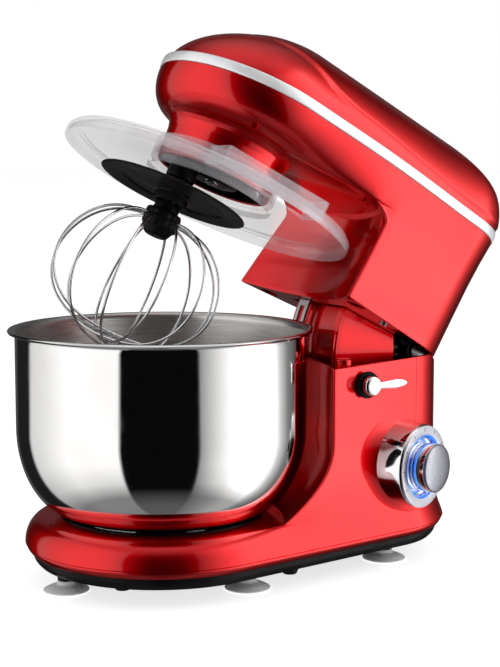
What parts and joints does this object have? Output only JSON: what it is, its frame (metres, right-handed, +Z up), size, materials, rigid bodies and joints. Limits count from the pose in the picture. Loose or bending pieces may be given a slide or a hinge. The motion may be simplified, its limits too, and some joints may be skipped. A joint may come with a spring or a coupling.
{
  "type": "stand mixer",
  "caption": "Tilt-head kitchen stand mixer with steel bowl, balloon whisk, clear splash guard, side speed dial and head release lever.",
  "frame": {"origin": "bowl axis on the plane of the table, under the suction cups", "axes": "+Z up, -X towards the nose and bowl, +X towards the column, -Y towards the dial and lever side"},
  "size_m": [0.4238, 0.2312, 0.4127],
  "materials": {
    "red_casing": "metallic red lacquer over moulded plastic, high gloss",
    "black_plastic": "satin black moulded plastic",
    "clear_plastic": "clear moulded plastic, faintly tinted",
    "foot_rubber": "soft milky rubber",
    "chrome_trim": "bright chrome plating",
    "satin_trim": "fine brushed satin silver",
    "bowl_steel": "mirror polished outside, brushed inside",
    "wire_steel": "bright drawn steel wire",
    "machine_steel": "turned steel",
    "pressed_steel": "zinc plated sheet steel",
    "cast_alloy": "die cast alloy",
    "gear_nylon": "natural nylon",
    "copper_winding": "lacquered copper",
    "motor_iron": "laminated iron",
    "carbon": "pressed carbon",
    "board_green": "lacquered circuit board",
    "blue_light": "lit blue diffuser"
  },
  "bodies": {
    "stand": {"stand_housing": "red_casing", "column_rear_cover": "red_casing", "base_lower_rim": "red_casing", "bottom_plate": "black_plastic", "suction_cups": "foot_rubber", "cup_stems": "black_plastic", "foot_stubs": "black_plastic", "bottom_screws": "machine_steel", "bowl_seat": "black_plastic", "hinge_shroud": "red_casing", "column_pegs": "red_casing", "hinge_frame": "pressed_steel", "hinge_pin": "machine_steel", "dial_bezel": "chrome_trim", "dial_face": "satin_trim", "led_ring": "blue_light", "speed_switch": "black_plastic", "control_board": "board_green", "inlet_gland": "black_plastic", "lever_bush": "black_plastic"},
    "speed_knob": {"knob_sleeve": "chrome_trim", "knob_cap": "satin_trim", "knob_shaft": "machine_steel"},
    "head_release": {"release_lever": "chrome_trim", "latch_shaft": "machine_steel", "latch_nose": "machine_steel", "latch_spring": "machine_steel"},
    "bowl": {"mixing_bowl": "bowl_steel", "bowl_foot_ring": "chrome_trim"},
    "head": {"head_top_cover": "red_casing", "trim_strip": "satin_trim", "head_lower_housing": "red_casing", "neck_collar": "red_casing", "leg_bottom_cover": "red_casing", "lock_strap": "pressed_steel", "head_bracket": "pressed_steel", "gearbox_housing": "cast_alloy", "ring_gear": "gear_nylon", "output_bearings": "machine_steel", "motor_stator": "motor_iron", "motor_end_plates": "pressed_steel", "motor_bearings": "machine_steel", "carbon_brushes": "carbon", "head_screws": "machine_steel"},
    "rotor": {"motor_shaft": "machine_steel", "drive_worm": "machine_steel", "armature": "copper_winding", "commutator": "copper_winding", "cooling_fan": "black_plastic"},
    "carrier": {"output_shaft": "machine_steel", "worm_wheel": "gear_nylon", "planet_carrier": "black_plastic", "carrier_screw": "machine_steel"},
    "tool": {"tool_shaft": "machine_steel", "planet_pinion": "gear_nylon", "tool_pin": "machine_steel", "splash_disc": "black_plastic"},
    "whisk": {"whisk_hub": "black_plastic", "whisk_wires": "wire_steel"},
    "guard": {"splash_guard": "clear_plastic"}
  },
  "joints": [
    {"name": "head_tilt", "type": "hinge", "parent": "stand", "child": "head", "pos_m": [0.22, 0, 0.162], "axis": [0, 1, 0], "range_deg": [-27, 0]},
    {"name": "planet_spin", "type": "hinge", "parent": "head", "child": "carrier", "pos_m": [0.05485, 0, 0.32247], "axis": [0.454, 0, 0.891], "continuous": true},
    {"name": "tool_spin", "type": "hinge", "parent": "carrier", "child": "tool", "pos_m": [0.02177, -0.00777, 0.32137], "axis": [0.454, 0, 0.891], "continuous": true},
    {"name": "motor_spin", "type": "hinge", "parent": "head", "child": "rotor", "pos_m": [0.12375, 0.033, 0.32552], "axis": [0.891, 0, -0.454], "continuous": true},
    {"name": "whisk_push", "type": "slide", "parent": "tool", "child": "whisk", "axis": [0.454, 0, 0.891], "range_m": [0, 0.005], "stiffness_N_per_m": 400},
    {"name": "guard_twist", "type": "hinge", "parent": "head", "child": "guard", "pos_m": [0.04668, 0, 0.30643], "axis": [0.454, 0, 0.891], "range_deg": [0, 20]},
    {"name": "bowl_twist", "type": "hinge", "parent": "stand", "child": "bowl", "pos_m": [0, 0, 0.05], "axis": [0, 0, 1], "range_deg": [0, 35]},
    {"name": "knob_turn", "type": "hinge", "parent": "stand", "child": "speed_knob", "pos_m": [0.184, -0.0525, 0.078], "axis": [0.3746, -0.9272, 0], "range_deg": [-40, 150]},
    {"name": "lever_press", "type": "hinge", "parent": "stand", "child": "head_release", "pos_m": [0.137, -0.073, 0.147], "axis": [0, -1, 0], "range_deg": [-35, 0], "stiffness_Nm_per_rad": 0.3}
  ],
  "couplings": [
    {"joint": "tool_spin", "follows": "planet_spin", "ratio": -4},
    {"joint": "motor_spin", "follows": "planet_spin", "ratio": 20}
  ]
}
